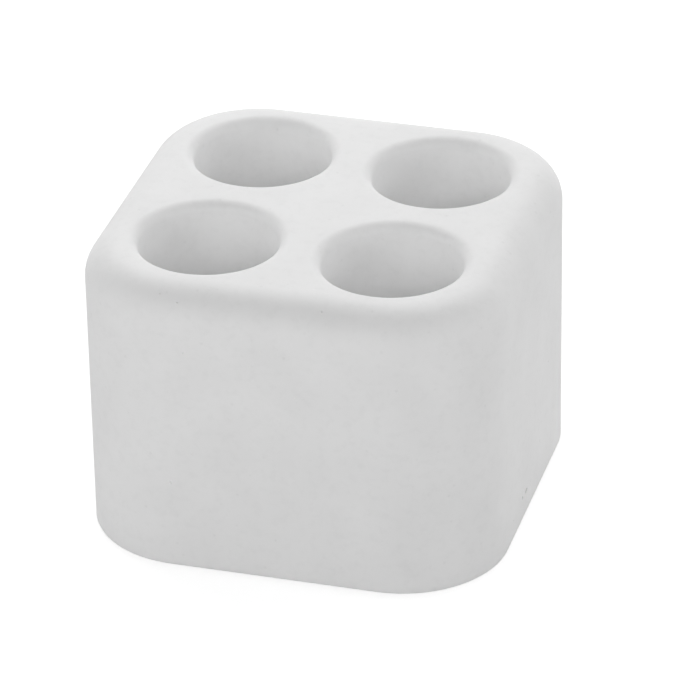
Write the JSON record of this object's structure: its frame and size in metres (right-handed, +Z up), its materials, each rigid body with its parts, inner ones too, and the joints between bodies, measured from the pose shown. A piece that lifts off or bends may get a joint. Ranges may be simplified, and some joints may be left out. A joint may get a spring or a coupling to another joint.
{
  "type": "toothbrush holder",
  "caption": "Rounded square matte mineral block with vertical round wells in its top that hold toothbrushes upright, on small silicone feet.",
  "frame": {"origin": "on the surface that the feet stand on, under the middle of the block", "axes": "+Z up out of the wells; +X to the right and -Y towards the viewer of the picture's broad side"},
  "size_m": [0.07, 0.07, 0.0513],
  "materials": {
    "mineral": "matte",
    "silicone": "satin",
    "adhesive": "matte"
  },
  "bodies": {
    "root": {"block": "mineral", "foot_front_left": "silicone", "foot_front_right": "silicone", "foot_back_left": "silicone", "foot_back_right": "silicone", "adhesive_front_left": "adhesive", "adhesive_front_right": "adhesive", "adhesive_back_left": "adhesive", "adhesive_back_right": "adhesive"}
  },
  "joints": []
}
